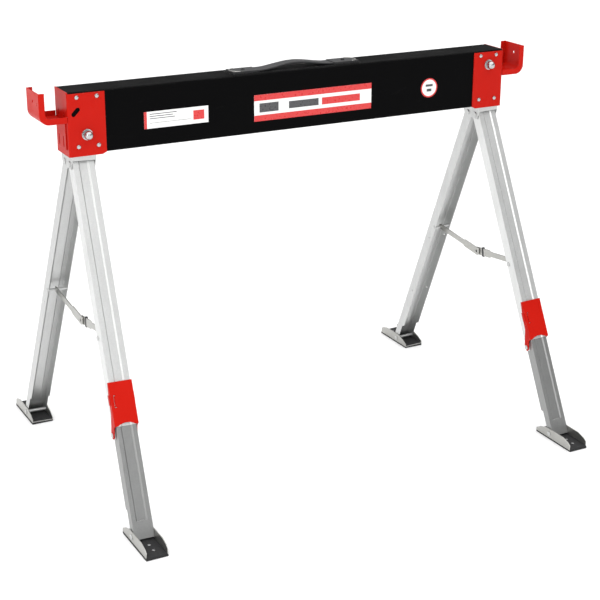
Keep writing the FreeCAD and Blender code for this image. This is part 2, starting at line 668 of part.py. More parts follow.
def make_latch(end):
    """Red clamp lever: a pressed channel over the telescopic joint, hinged at its lower rear ears."""
    latch = Piece(f"latch_{end}")
    inner_x = "leg_half + latch_gap"
    outer_x = "leg_half + latch_gap + latch_plate"
    face = "-1 * (depth_half + latch_gap)"
    back = f"{face} - latch_plate"
    pin_y, pin_z = "latch_pin_inset", "-1 * latch_pin_drop"
    profile = [(back, "-1 * latch_top")]
    profile.extend((f"{face} + {behind}", f"-1 * latch_top - {below}") for behind, below in LATCH_SIDE)
    profile.extend((f"{pin_y} + {behind}", f"{pin_z} + {above}") for behind, above in LATCH_EAR)
    profile.append((f"{face} + latch_ear_root", "-1 * latch_low - latch_ear_drop"))
    profile.append((back, "-1 * latch_low"))
    latch.add("YZ", f"-1 * ({outer_x})", outer_x, profile)
    room = rectangle(f"-1 * ({inner_x})", face, inner_x, "leg_depth")
    latch.cut("XY", f"{pin_z} - latch_pin_inset - 4", "-1 * latch_top + 1", room)
    notch = circle("0", "-1 * latch_low - notch_below", "notch_radius")
    latch.cut("XZ", f"{back} - 1", f"{face} + overcut", notch)
    tab_low, tab_high = "-1 * latch_top - tab_end", "-1 * latch_top - tab_start"
    tab = rectangle(f"{face} + 1", tab_low, f"{face} + tab_depth", tab_high)
    latch.add("YZ", outer_x, f"{outer_x} + tab_proud", tab)
    latch.add("YZ", f"-1 * ({outer_x} + tab_proud)", f"-1 * ({outer_x})", tab)
    bore = circle(pin_y, pin_z, "latch_pin_radius + running_gap")
    latch.cut("YZ", "-1 * leg_width", "leg_width", bore)
    latch.cut("XZ", f"{back} - 1", f"{face} + overcut", slit_outline())
    leg_frame(latch, end, "front")


def slit_outline():
    """A narrow U of a cut, which frees a small tongue near one edge of the latch's face."""
    side, foot = "-1 * slit_side", "-1 * slit_side + slit_reach"
    high, low = "-1 * latch_top - slit_start", "-1 * latch_top - slit_end"
    return [
        (side, high),
        (foot, high),
        (foot, f"{high} - slit_width"),
        (f"{side} + slit_width", f"{high} - slit_width"),
        (f"{side} + slit_width", f"{low} + slit_width"),
        (foot, f"{low} + slit_width"),
        (foot, low),
        (side, low),
    ]


def make_latch_pins(end):
    """A short rivet in each ear of the upper leg, on which the latch turns."""
    pins = Piece(f"latch_pins_{end}")
    inner = "leg_half - leg_wall"
    outer = "leg_half + latch_gap + latch_plate"
    shank = circle("latch_pin_inset", "-1 * latch_pin_drop", "latch_pin_radius")
    head = circle("latch_pin_inset", "-1 * latch_pin_drop", "brace_pin_head")
    head_end = f"{outer} + overcut + tab_proud"
    pins.add("YZ", inner, f"{outer} + overcut", shank)
    pins.add("YZ", f"{outer} + overcut", head_end, head)
    pins.add("YZ", f"-1 * ({outer} + overcut)", f"-1 * ({inner})", shank)
    pins.add("YZ", f"-1 * ({head_end})", f"-1 * ({outer} + overcut)", head)
    leg_frame(pins, end, "front")


def make_brace_pin(end, side):
    """Riveted pin across a leg channel, on which one brace link turns."""
    pin = Piece(f"brace_pin_{side}_{end}")
    shank = circle("brace_inset", "-1 * brace_drop", "brace_pin_radius")
    head = circle("brace_inset", "-1 * brace_drop", "brace_pin_head")
    pin.add("YZ", "-1 * leg_half", "leg_half", shank)
    pin.add("YZ", "leg_half", "leg_half + pin_proud", head)
    pin.add("YZ", "-1 * leg_half - pin_proud", "-1 * leg_half", head)
    leg_frame(pin, end, side)


def make_brace_link(end, side):
    """Half of the folding brace: a flat bar, wider where it meets the other half."""
    link = Piece(f"brace_link_{side}_{end}")
    tip = "link_run + link_tip"
    flare = "link_run - link_flare"
    profile = [
        ("-1 * link_half", "-1 * link_half"),
        (f"{flare} - link_taper", "-1 * link_half"),
        (flare, "-1 * link_wide"),
        (tip, "-1 * link_wide"),
        (tip, "link_wide"),
        (flare, "link_wide"),
        (f"{flare} - link_taper", "link_half"),
        ("-1 * link_half", "link_half"),
    ]
    link.add("YZ", "link_near", "link_far", profile)
    ends = [("link_near", "-1 * link_half", f"{sign} * link_half") for sign in ("-1", "1")]
    tips = [("link_near", tip, f"{sign} * link_wide") for sign in ("-1", "1")]
    link.bend("link_end_round", "X", *ends)
    link.bend("link_tip_round", "X", *tips)
    pin_hole = circle("0", "0", "brace_pin_radius + running_gap")
    rivet_hole = circle("link_run", "0", "brace_pin_radius + rivet_gap")
    link.cut("YZ", "-1 * link_far", "link_far + 1", pin_hole, rivet_hole)
    link_frame(link, end, side)


def make_brace_rivet(end):
    """Rivet in the front link at the middle of the brace."""
    rivet = Piece(f"brace_rivet_{end}")
    rivet.add("YZ", "link_near", "link_far", circle("link_run", "0", "brace_pin_radius"))
    rivet.add("YZ", "link_far", "link_far + pin_proud", circle("link_run", "0", "brace_pin_head"))
    link_frame(rivet, end, "front")


def make_brace_collar(end):
    """Black stop collar round the front link, just before the middle rivet."""
    collar = Piece(f"brace_collar_{end}")
    start = "link_run - collar_start"
    end_y = f"{start} + collar_length"
    half = "link_wide + collar_wall"
    outer = rectangle("0.2", f"-1 * ({half})", "link_far + collar_wall", half)
    inner = rectangle("link_near", "-1 * link_wide", "link_far", "link_wide")
    collar.add("XZ", start, end_y, outer, inner)
    link_frame(collar, end, "front")


def foot_halves(side):
    """Inner half width of a foot bracket: the front feet fit the narrower lower legs."""
    leg = "lower_half" if side == "front" else "leg_half"
    return f"{leg} + foot_side_gap", f"{leg} + foot_side_gap + foot_plate"


def make_foot_bracket(end, side):
    """Galvanised U bracket of an articulated foot."""
    bracket = Piece(f"foot_bracket_{side}_{end}")
    inner, outer = foot_halves(side)
    profile = [
        ("-1 * toe + lip", "plate_low"),
        ("heel", "plate_low"),
        ("heel", "plate_low + flange_heel"),
        ("heel - flange_heel_run", "flange_top - flange_heel"),
        ("flange_shoulder", "flange_top"),
        ("-1 * flange_level", "flange_top"),
        ("-1 * toe + flange_toe_run", "plate_low + flange_toe + 5"),
        ("-1 * toe + lip", "plate_low + flange_toe"),
    ]
    bracket.add("YZ", f"-1 * ({outer})", outer, profile)
    room = rectangle(f"-1 * ({inner})", "-1 * toe - 1", inner, "heel + 1")
    bracket.cut("XY", "plate_top", "plate_top + 30", room)
    bracket.cut("YZ", "-1 * leg_width", "leg_width", circle("0", "0", "foot_pin_radius"))
    seats = [circle("0", f"-1 * foot_screw_{place}", "foot_screw_radius - 1") for place in ("near", "far")]
    bracket.cut("XY", "plate_low - 1", "plate_top + 1", *seats)
    foot_frame(bracket, end, side)


def make_foot_pad(end, side):
    """Black rubber pad: a sole under the bracket and a top sheet in it, joined round the toe.

    The sole is a slight wedge, so that it lies flat on the floor under the tilted bracket.
    """
    pad = Piece(f"foot_pad_{side}_{end}")
    inner, outer = foot_halves(side)
    slope = "tip_sin / tip_cos" if (side == "front") == (end == "right") else "-1 * tip_sin / tip_cos"
    level = "-1 * foot_pin_height / tip_cos"
    wedge = [
        (f"-1 * ({outer})", f"{level} + ({outer}) * {slope}"),
        (outer, f"{level} - ({outer}) * {slope}"),
        (outer, "plate_low"),
        (f"-1 * ({outer})", "plate_low"),
    ]
    pad.add("XZ", "-1 * toe", "heel", wedge)
    half = f"{inner} - pad_gap"
    top = "plate_top + pad_top"
    pad.add("XY", "plate_low", top, rectangle(f"-1 * ({half})", "-1 * toe", half, "-1 * toe + lip"))
    pad.add("XY", "plate_top", top, rectangle(f"-1 * ({half})", "-1 * toe + lip", half, "heel - 2"))
    seats = [circle("0", f"-1 * foot_screw_{place}", "foot_screw_radius - 1") for place in ("near", "far")]
    pad.cut("XY", "plate_low - 2", f"{top} + 1", *seats)
    foot_frame(pad, end, side)


def make_foot_screws(end, side):
    """Two screws that hold the pad in the bracket."""
    screws = Piece(f"foot_screws_{side}_{end}")
    shanks = []
    heads = []
    for place in ("near", "far"):
        shanks.append(circle("0", f"-1 * foot_screw_{place}", "foot_screw_radius - 1"))
        heads.append(circle("0", f"-1 * foot_screw_{place}", "foot_screw_radius"))
    screws.add("XY", "plate_low - foot_screw_root", "plate_top + pad_top", *shanks)
    screws.add("XY", "plate_top + pad_top", "plate_top + pad_top + foot_screw_proud", *heads)
    foot_frame(screws, end, side)


def make_foot_pin(end, side):
    """Riveted pin of an articulated foot."""
    pin = Piece(f"foot_pin_{side}_{end}")
    outer = foot_halves(side)[1]
    pin.add("YZ", f"-1 * ({outer})", outer, circle("0", "0", "foot_pin_radius"))
    head = circle("0", "0", "foot_pin_head")
    pin.add("YZ", outer, f"{outer} + pin_proud", head)
    pin.add("YZ", f"-1 * ({outer} + pin_proud)", f"-1 * ({outer})", head)
    foot_frame(pin, end, side)


def bent_strip(depth):
    """Outline of the saddle's floor and lip, a given depth thick, with its round outer bend."""
    return [
        ("saddle_in", "saddle_low"),
        ("saddle_out - saddle_bend", "saddle_low"),
        ("saddle_out", "saddle_low + saddle_bend", "saddle_bend", "left"),
        ("saddle_out", "saddle_top"),
        (f"saddle_out - {depth}", "saddle_top"),
        (f"saddle_out - {depth}", "saddle_low + saddle_bend"),
        ("saddle_out - saddle_bend", f"saddle_low + {depth}", f"saddle_bend - {depth}", "right"),
        ("saddle_in", f"saddle_low + {depth}"),
    ]


def make_saddle_tray(end):
    """Red saddle tray: a rimmed floor and lip that hold a timber rail."""
    tray = Piece(f"saddle_tray_{end}")
    half = "0.5 * saddle_width"
    inside = f"{half} - saddle_plate"
    tray.add("XZ", f"-1 * {half}", half, bent_strip("saddle_plate"))
    tray.add("XZ", f"-1 * {half}", f"-1 * ({inside})", bent_strip("saddle_rim"))
    tray.add("XZ", inside, half, bent_strip("saddle_rim"))
    hole = circle("0", "saddle_top - lip_hole_drop", "lip_hole_radius")
    tray.cut("YZ", "saddle_out - saddle_plate - 1", "saddle_out + 1", hole)
    end_frame(tray, end)


def make_saddle_hooks(end):
    """Red plate welded below the tray: a tongue with two hooks lanced out of it."""
    hooks = Piece(f"saddle_hooks_{end}")
    side = "0.5 * tongue_width"
    tongue = rectangle(f"-1 * {side}", "height - tongue_drop", side, "saddle_low")
    hooks.add("YZ", "saddle_in", "saddle_in + saddle_plate", tongue)
    openings = []
    for sign in ("-1", "1"):
        add_hook(hooks, sign)
        far = "0.5 * (slot_pitch - hook_plate)"
        near = f"{far} - tongue_slot"
        high, low = "height - lower_slot_top", "height - lower_slot_low"
        openings.append(rectangle(f"{sign} * ({near})", low, f"{sign} * {far}", high))
    hooks.cut("YZ", "saddle_in - 1", "saddle_in + saddle_plate + 1", *openings)
    end_frame(hooks, end)


def add_hook(saddle, sign):
    """One hook that passes through a lower slot of the end cap and drops behind its plate."""
    behind = "half_length - cap_plate - saddle_gap"
    low = "height - lower_slot_low + hook_gap"
    profile = [
        ("saddle_in", low),
        ("saddle_in", f"{low} + hook_neck"),
        (f"{behind} - saddle_plate", f"{low} + hook_neck"),
        (f"{behind} - saddle_plate", f"{low} - hook_tab"),
        (behind, f"{low} - hook_tab"),
        (behind, low),
    ]
    middle = f"{sign} * 0.5 * slot_pitch"
    saddle.add("XZ", f"{middle} - 0.5 * hook_plate", f"{middle} + 0.5 * hook_plate", profile)


def anchor_circles(radius):
    """A circle in the middle of each strap anchor."""
    return [circle(f"{sign} * 0.5 * (anchor_start + anchor_end)", "0", radius) for sign in ("-1", "1")]


def make_strap():
    """Black carry strap, arched over the middle of the beam."""
    strap = Piece("handle_strap")
    low = "strap_low"
    high = "strap_low + strap_plate"
    profile = [
        ("-1 * strap_half", low),
        ("-1 * arch_foot", low),
        ("-1 * arch_crown", f"{low} + arch_rise"),
        ("arch_crown", f"{low} + arch_rise"),
        ("arch_foot", low),
        ("strap_half", low),
        ("strap_half", high),
        ("arch_foot + arch_shift", high),
        ("arch_crown + arch_shift", f"{high} + arch_rise"),
        ("-1 * arch_crown - arch_shift", f"{high} + arch_rise"),
        ("-1 * arch_foot - arch_shift", high),
        ("-1 * strap_half", high),
    ]
    strap.add("XZ", "-0.5 * strap_width", "0.5 * strap_width", profile)
    unders = [(f"{sign} * arch_crown", "0", f"{low} + arch_rise") for sign in ("-1", "1")]
    tops = [(f"{sign} * (arch_crown + arch_shift)", "0", f"{high} + arch_rise") for sign in ("-1", "1")]
    strap.bend("arch_round_low", "Y", *unders)
    strap.bend("arch_round_high", "Y", *tops)
    strap.cut("XY", f"{low} - 1", f"{high} + 1", *anchor_circles("anchor_hole_radius"))


def make_strap_anchors():
    """Two black plates that clamp the ends of the strap on the beam."""
    anchors = Piece("handle_anchors")
    low = "strap_low"
    high = "strap_low + strap_plate + anchor_plate"
    for inner, outer in (("-1 * anchor_end", "-1 * anchor_start"), ("anchor_start", "anchor_end")):
        anchors.add("XY", low, high, rectangle(inner, "-0.5 * anchor_width", outer, "0.5 * anchor_width"))
    room = rectangle("-1 * strap_half", "-0.5 * strap_width", "strap_half", "0.5 * strap_width")
    anchors.cut("XY", low, "strap_low + strap_plate", room)
    anchors.cut("XY", f"{low} - 1", f"{high} + 1", *anchor_circles("anchor_hole_radius"))


def make_strap_screws():
    """One screw through each anchor plate and strap end into the top of the beam."""
    screws = Piece("handle_screws")
    seat = "strap_low + strap_plate + anchor_plate"
    screws.add("XY", "strap_low", seat, *anchor_circles("anchor_hole_radius"))
    head_top = f"{seat} + anchor_screw_proud"
    screws.add("XY", seat, head_top, *anchor_circles("anchor_screw_radius"))


def make_labels():
    """Thin stickers on the front of the beam: a wide one, a small one and a round one."""
    labels = Piece("beam_labels")
    face = "-1 * beam_half"
    plates = [
        rectangle(f"{name}_left", f"height - {name}_low", f"{name}_right", f"height - {name}_top")
        for name in ("wide_label", "small_label")
    ]
    plates.append(circle("round_label_x", "height - round_label_drop", "round_label_radius"))
    labels.add("XZ", f"{face} - label_plate", face, *plates)


def build_all():
    """Builds every sub-part."""
    fill_sheet()
    make_beam()
    make_strap()
    make_strap_anchors()
    make_strap_screws()
    make_labels()
    make_cap_rivets()
    for end in ENDS:
        make_end_cap(end)
        make_pivot_bolt(end)
        make_pivot_nut(end)
        make_saddle_tray(end)
        make_saddle_hooks(end)
        make_pivot_bush(end)
        make_carrier(end)
        make_hinge_pins(end)
        make_upper_leg(end)
        make_lower_leg(end)
        make_rear_leg(end)
        make_latch(end)
        make_latch_pins(end)
        make_brace_rivet(end)
        make_brace_collar(end)
        for side in SIDES:
            make_brace_pin(end, side)
            make_brace_link(end, side)
            make_foot_bracket(end, side)
            make_foot_pad(end, side)
            make_foot_screws(end, side)
            make_foot_pin(end, side)
    doc.recompute()


def check_all():
    """Stops if an object failed, a cut removed nothing or a pad added nothing."""
    for item in doc.Objects:
        if "Invalid" in item.State or "Error" in item.State:
            raise RuntimeError(f"{item.Name} failed: {item.State}")
        if item.TypeId in ("PartDesign::Pocket", "PartDesign::Pad") and item.BaseFeature:
            change = item.Shape.Volume - item.BaseFeature.Shape.Volume
            if item.TypeId == "PartDesign::Pocket":
                change = -change
            if change < 0.01:
                raise RuntimeError(f"{item.Name} changed nothing")
    for body in pieces:
        if body.Shape.isNull() or not body.Shape.isValid():
            raise RuntimeError(f"{body.Label} has no valid shape")


def write_parts():
    """Writes one STEP file for each sub-part."""
    os.makedirs("parts", exist_ok=True)
    for body in pieces:
        body.Shape.exportStep(f"parts/{body.Label}.step")
    print(f"{len(pieces)} sub-parts written")


build_all()
check_all()
write_parts()
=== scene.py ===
"""Folding sawhorse: finishes, small added pieces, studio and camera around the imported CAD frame."""

import json
import math

import bmesh
import bpy
from mathutils import Matrix, Vector


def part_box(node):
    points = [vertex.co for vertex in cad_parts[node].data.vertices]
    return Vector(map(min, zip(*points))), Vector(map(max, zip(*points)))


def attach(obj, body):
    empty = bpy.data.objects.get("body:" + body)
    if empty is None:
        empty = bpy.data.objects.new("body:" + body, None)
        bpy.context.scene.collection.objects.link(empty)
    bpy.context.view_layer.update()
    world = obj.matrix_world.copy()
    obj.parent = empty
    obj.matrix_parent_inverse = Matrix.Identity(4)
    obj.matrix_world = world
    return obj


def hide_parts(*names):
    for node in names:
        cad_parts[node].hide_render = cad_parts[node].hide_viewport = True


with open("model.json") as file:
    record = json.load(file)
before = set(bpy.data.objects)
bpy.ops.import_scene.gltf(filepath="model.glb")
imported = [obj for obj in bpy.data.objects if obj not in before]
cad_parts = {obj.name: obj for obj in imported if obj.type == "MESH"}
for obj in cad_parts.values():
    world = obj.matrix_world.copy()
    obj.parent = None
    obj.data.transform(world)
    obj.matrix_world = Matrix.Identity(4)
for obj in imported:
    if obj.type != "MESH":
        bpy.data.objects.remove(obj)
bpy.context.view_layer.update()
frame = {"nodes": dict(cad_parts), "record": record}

ENDS = ("left", "right")
SIDES = ("front", "rear")


# ---------------------------------------------------------------- node helpers
class Finish:
    """One procedural material with a few shorthands for building its nodes."""

    def __init__(self, name, colour, metallic, roughness):
        self.material = bpy.data.materials.new(name)
        self.material.use_nodes = True
        self.nodes = self.material.node_tree.nodes
        self.links = self.material.node_tree.links
        self.shader = self.nodes["Principled BSDF"]
        self.set(Metallic=metallic, Roughness=roughness)
        self.shader.inputs["Base Color"].default_value = (*colour, 1)
        self.place = self.nodes.new("ShaderNodeTexCoord").outputs["Object"]

    def set(self, **values):
        """Sets plain values on the shader; underscores in the names stand for spaces."""
        for name, value in values.items():
            self.shader.inputs[name.replace("_", " ")].default_value = value

    def join(self, source, target):
        self.links.new(source, target)

    def feed(self, source, name):
        self.join(source, self.shader.inputs[name])

    def stretched(self, scale):
        """Object coordinates, scaled differently along each axis."""
        mapping = self.nodes.new("ShaderNodeMapping")
        mapping.inputs["Scale"].default_value = scale
        self.join(self.place, mapping.inputs["Vector"])
        return mapping.outputs["Vector"]

    def noise(self, scale, detail=4.0, rough=0.5, vector=None):
        node = self.nodes.new("ShaderNodeTexNoise")
        node.inputs["Scale"].default_value = scale
        node.inputs["Detail"].default_value = detail
        node.inputs["Roughness"].default_value = rough
        self.join(vector or self.place, node.inputs["Vector"])
        return node.outputs["Fac"]

    def cells(self, scale, output="Color"):
        node = self.nodes.new("ShaderNodeTexVoronoi")
        node.inputs["Scale"].default_value = scale
        self.join(self.place, node.inputs["Vector"])
        if output != "Color":
            return node.outputs[output]
        split = self.nodes.new("ShaderNodeSeparateColor")
        self.join(node.outputs["Color"], split.inputs["Color"])
        return split.outputs["Red"]

    def remap(self, value, low, high, to_low, to_high):
        node = self.nodes.new("ShaderNodeMapRange")
        self.join(value, node.inputs["Value"])
        for name, number in zip(("From Min", "From Max", "To Min", "To Max"), (low, high, to_low, to_high)):
            node.inputs[name].default_value = number
        return node.outputs["Result"]

    def maths(self, operation, first, second):
        node = self.nodes.new("ShaderNodeMath")
        node.operation = operation
        for socket, value in zip(node.inputs, (first, second)):
            if isinstance(value, (int, float)):
                socket.default_value = value
            else:
                self.join(value, socket)
        return node.outputs["Value"]

    def between(self, value, low, high):
        """1 where the value lies between the two limits, else 0."""
        above = self.maths("GREATER_THAN", value, low)
        return self.maths("MULTIPLY", above, self.maths("LESS_THAN", value, high))

    def mix(self, factor, first, second):
        """Mixes two colours; each is a colour triple or another node's output."""
        node = self.nodes.new("ShaderNodeMix")
        node.data_type = "RGBA"
        self.join(factor, node.inputs["Factor"])
        for socket, value in ((node.inputs[6], first), (node.inputs[7], second)):
            if isinstance(value, tuple):
                socket.default_value = (*value, 1)
            else:
                self.join(value, socket)
        return node.outputs[2]

    def soft_edges(self, radius):
        """Rounded normals at the edges, and a mask that is 1 on those edges."""
        bevel = self.nodes.new("ShaderNodeBevel")
        bevel.samples = 6
        bevel.inputs["Radius"].default_value = radius
        true = self.nodes.new("ShaderNodeNewGeometry").outputs["Normal"]
        dot = self.nodes.new("ShaderNodeVectorMath")
        dot.operation = "DOT_PRODUCT"
        self.join(bevel.outputs["Normal"], dot.inputs[0])
        self.join(true, dot.inputs[1])
        mask = self.remap(dot.outputs["Value"], 0.995, 0.8, 0.0, 1.0)
        return bevel.outputs["Normal"], mask

    def bump(self, height, strength, distance, normal=None):
        node = self.nodes.new("ShaderNodeBump")
        node.inputs["Strength"].default_value = strength
        node.inputs["Distance"].default_value = distance
        self.join(height, node.inputs["Height"])
        if normal:
            self.join(normal, node.inputs["Normal"])
        return node.outputs["Normal"]


# ---------------------------------------------------------------- finishes
def black_powder_coat():
    finish = Finish("black_powder_coat", (0.002, 0.002, 0.0022), 0.0, 0.5)
    finish.set(Specular_IOR_Level=0.03)
    normal, edge = finish.soft_edges(0.0022)
    peel = finish.noise(1300, 2.0)
    scuffs = finish.noise(60, 8.0, 0.7, finish.stretched((0.25, 1.0, 1.0)))
    worn = finish.maths("MULTIPLY", edge, finish.remap(scuffs, 0.36, 0.62, 0.05, 0.8))
    rubbed = finish.remap(scuffs, 0.62, 0.85, 0.0, 0.03)
    marks = finish.maths("ADD", worn, rubbed)
    finish.feed(finish.mix(marks, (0.002, 0.002, 0.0022), (0.36, 0.36, 0.35)), "Base Color")
    finish.feed(finish.remap(finish.noise(14, 5.0), 0.3, 0.7, 0.44, 0.58), "Roughness")
    finish.feed(finish.bump(peel, 0.12, 0.0004, normal), "Normal")
    return finish.material


def red_powder_coat():
    finish = Finish("red_powder_coat", (0.56, 0.011, 0.006), 0.0, 0.36)
    finish.set(Specular_IOR_Level=0.06, Coat_Weight=0.03, Coat_Roughness=0.2)
    normal, edge = finish.soft_edges(0.0010)
    chips = finish.noise(260, 6.0, 0.65)
    edge_wear_and_highlight = finish.maths("MULTIPLY", edge, finish.remap(chips, 0.57, 0.62, 0.0, 0.75))
    tone = finish.mix(finish.noise(9, 4.0), (0.45, 0.008, 0.004), (0.53, 0.011, 0.005))
    finish.feed(finish.mix(edge_wear_and_highlight, tone, (0.30, 0.27, 0.25)), "Base Color")
    finish.feed(finish.remap(finish.noise(30, 5.0), 0.3, 0.7, 0.26, 0.40), "Roughness")
    finish.feed(finish.bump(finish.noise(1100, 2.0), 0.10, 0.0004, normal), "Normal")
    return finish.material


def galvanised_steel(name, tone):
    """Rolled and galvanised sheet; tone is its grey, darker on the lower legs and links as painted shade,
    lighter on the upper front legs as painted light.
    """
    finish = Finish(name, (tone, tone, tone), 0.9, 0.42)
    normal, edge = finish.soft_edges(0.0008)
    spangle = finish.cells(420)
    rolling = finish.noise(900, 3.0, 0.6, finish.stretched((1.0, 1.0, 0.02)))
    stains = finish.noise(26, 6.0, 0.6, finish.stretched((1.0, 1.0, 0.2)))
    grain_dark = (0.97 * tone, 0.98 * tone, 0.975 * tone)
    grain_light = (1.03 * tone, 1.04 * tone, 1.03 * tone)
    flecked = finish.mix(spangle, grain_dark, grain_light)
    rolled = (0.90 * tone, 0.91 * tone, 0.90 * tone)
    darker_grey = (0.78 * tone, 0.78 * tone, 0.765 * tone)
    # A lighter grey laid evenly along every edge: a painted highlight.
    edge_wear_and_highlight = (1.25 * tone, 1.25 * tone, 1.24 * tone)
    streaked = finish.mix(finish.remap(rolling, 0.4, 0.7, 0.0, 0.45), flecked, rolled)
    stained = finish.mix(finish.remap(stains, 0.5, 0.78, 0.0, 0.4), streaked, darker_grey)
    finish.feed(finish.mix(finish.remap(edge, 0.0, 1.0, 0.0, 0.6), stained, edge_wear_and_highlight), "Base Color")
    satin = finish.remap(spangle, 0.0, 1.0, 0.34, 0.40)
    finish.feed(finish.maths("ADD", satin, finish.remap(rolling, 0.3, 0.7, 0.0, 0.08)), "Roughness")
    finish.feed(finish.bump(rolling, 0.05, 0.0003, normal), "Normal")
    return finish.material


def zinc_plate():
    finish = Finish("zinc_plate", (0.42, 0.42, 0.40), 0.9, 0.34)
    normal, edge = finish.soft_edges(0.0006)
    cloud = finish.noise(45, 6.0, 0.6)
    tone = finish.mix(cloud, (0.38, 0.38, 0.37), (0.46, 0.455, 0.425))
    # Lighter grey laid evenly along every edge: a painted highlight.
    finish.feed(finish.mix(finish.remap(edge, 0.0, 1.0, 0.0, 0.6), tone, (0.76, 0.76, 0.73)), "Base Color")
    finish.feed(finish.remap(finish.noise(160, 4.0), 0.3, 0.7, 0.28, 0.40), "Roughness")
    finish.feed(finish.bump(finish.noise(700, 3.0), 0.05, 0.0003, normal), "Normal")
    return finish.material


def bright_fasteners():
    finish = Finish("bright_fasteners", (0.62, 0.62, 0.62), 1.0, 0.2)
    normal, _ = finish.soft_edges(0.0008)
    smudge = finish.noise(240, 5.0, 0.6)
    finish.feed(finish.mix(smudge, (0.42, 0.42, 0.43), (0.54, 0.54, 0.54)), "Base Color")
    finish.feed(finish.remap(smudge, 0.3, 0.7, 0.16, 0.28), "Roughness")
    finish.feed(finish.bump(finish.noise(1600, 2.0), 0.03, 0.0002, normal), "Normal")
    return finish.material


def black_rubber():
    finish = Finish("black_rubber", (0.018, 0.018, 0.019), 0.0, 0.72)
    finish.set(Specular_IOR_Level=0.35)
    normal, edge = finish.soft_edges(0.0009)
    dust = finish.noise(120, 7.0, 0.7)
    worn = finish.remap(edge, 0.0, 1.0, 0.0, 0.25)
    dusty = finish.maths("ADD", worn, finish.remap(dust, 0.55, 0.8, 0.0, 0.3))
    finish.feed(finish.mix(dusty, (0.016, 0.016, 0.017), (0.10, 0.10, 0.098)), "Base Color")
    finish.feed(finish.remap(dust, 0.3, 0.7, 0.62, 0.82), "Roughness")
    finish.feed(finish.bump(finish.noise(1500, 3.0), 0.25, 0.0004, normal), "Normal")
    return finish.material


def strap_black():
    finish = Finish("strap_black", (0.03, 0.03, 0.032), 0.0, 0.5)
    normal, _ = finish.soft_edges(0.0010)
    grain = finish.cells(1400, "Distance")
    dust = finish.noise(90, 6.0, 0.65)
    dusty = finish.remap(dust, 0.45, 0.8, 0.0, 0.4)
    finish.feed(finish.mix(dusty, (0.026, 0.026, 0.028), (0.085, 0.085, 0.085)), "Base Color")
    finish.feed(finish.remap(dust, 0.3, 0.7, 0.42, 0.60), "Roughness")
    finish.feed(finish.bump(grain, 0.2, 0.0003, normal), "Normal")
    return finish.material


LABEL_RED = (0.62, 0.02, 0.02)
LABEL_DARK = (0.05, 0.05, 0.055)
# Printed blocks: (label, left, right, low, high, colour), in metres from the label's left and lower edge.
WIDE, SMALL, ROUND = "wide", "small", "round"
PRINTS = (
    (WIDE, 0.000, 0.278, 0.0425, 0.055, LABEL_RED),
    (WIDE, 0.000, 0.278, 0.000, 0.0125, LABEL_RED),
    (WIDE, 0.012, 0.056, 0.018, 0.037, LABEL_DARK),
    (WIDE, 0.080, 0.150, 0.020, 0.035, LABEL_DARK),
    (WIDE, 0.158, 0.250, 0.020, 0.035, LABEL_RED),
    (SMALL, 0.000, 0.006, 0.000, 0.034, LABEL_RED),
    (SMALL, 0.012, 0.070, 0.0280, 0.0295, LABEL_DARK),
    (SMALL, 0.012, 0.062, 0.0235, 0.0250, LABEL_DARK),
    (SMALL, 0.012, 0.066, 0.0190, 0.0205, LABEL_DARK),
    (SMALL, 0.012, 0.100, 0.0105, 0.0112, LABEL_DARK),
    (SMALL, 0.106, 0.130, 0.0080, 0.0270, LABEL_RED),
    (ROUND, 0.012, 0.030, 0.024, 0.029, LABEL_DARK),
    (ROUND, 0.015, 0.027, 0.013, 0.019, LABEL_DARK),
)
# Left and lower edge of each label, in metres from the lower left corner of all three.
LABEL_CORNERS = {WIDE: (0.242, 0.000), SMALL: (0.000, 0.011), ROUND: (0.645, 0.009)}
ROUND_RADIUS = 0.021


def label_white():
    """White vinyl, printed with plain bands and blocks."""
    finish = Finish("label_white", (0.84, 0.84, 0.83), 0.0, 0.3)
    finish.set(Coat_Weight=0.3, Coat_Roughness=0.1)
    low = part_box("beam_labels")[0]
    split = finish.nodes.new("ShaderNodeSeparateXYZ")
    finish.join(finish.place, split.inputs["Vector"])
    x, z = split.outputs["X"], split.outputs["Z"]
    tone = finish.mix(finish.noise(40, 4.0), (0.80, 0.80, 0.79), (0.86, 0.86, 0.85))
    for label, left, right, bottom, top, colour in PRINTS:
        corner_x, corner_z = LABEL_CORNERS[label]
        across = finish.between(x, low.x + corner_x + left, low.x + corner_x + right)
        upward = finish.between(z, low.z + corner_z + bottom, low.z + corner_z + top)
        tone = finish.mix(finish.maths("MULTIPLY", across, upward), tone, colour)
    corner_x, corner_z = LABEL_CORNERS[ROUND]
    to_x = finish.maths("SUBTRACT", x, low.x + corner_x + ROUND_RADIUS)
    to_z = finish.maths("SUBTRACT", z, low.z + corner_z + ROUND_RADIUS)
    squares = finish.maths("ADD", finish.maths("POWER", to_x, 2.0), finish.maths("POWER", to_z, 2.0))
    ring = finish.between(squares, (ROUND_RADIUS - 0.003) ** 2, ROUND_RADIUS ** 2)
    tone = finish.mix(ring, tone, LABEL_RED)
    finish.feed(tone, "Base Color")
    finish.feed(finish.remap(finish.noise(200, 4.0), 0.3, 0.7, 0.24, 0.36), "Roughness")
    finish.feed(finish.bump(finish.noise(900, 2.0), 0.03, 0.0002), "Normal")
    return finish.material


# Greys of the galvanised sheet: the front legs' upper halves are painted lighter as painted light, and
# their lower halves darker as painted shade.
LIT_TONE = 0.70
PLAIN_TONE = 0.57
SHADED_TONE = 0.33

FINISHES = {
    "black_powder_coat": black_powder_coat(),
    "red_powder_coat": red_powder_coat(),
    "galvanised_steel": galvanised_steel("galvanised_steel", PLAIN_TONE),
    "zinc_plate": zinc_plate(),
    "bright_fasteners": bright_fasteners(),
    "black_rubber": black_rubber(),
    "strap_black": strap_black(),
    "label_white": label_white(),
}


def paint(thing, material):
    thing.data.materials.clear()
    thing.data.materials.append(material)


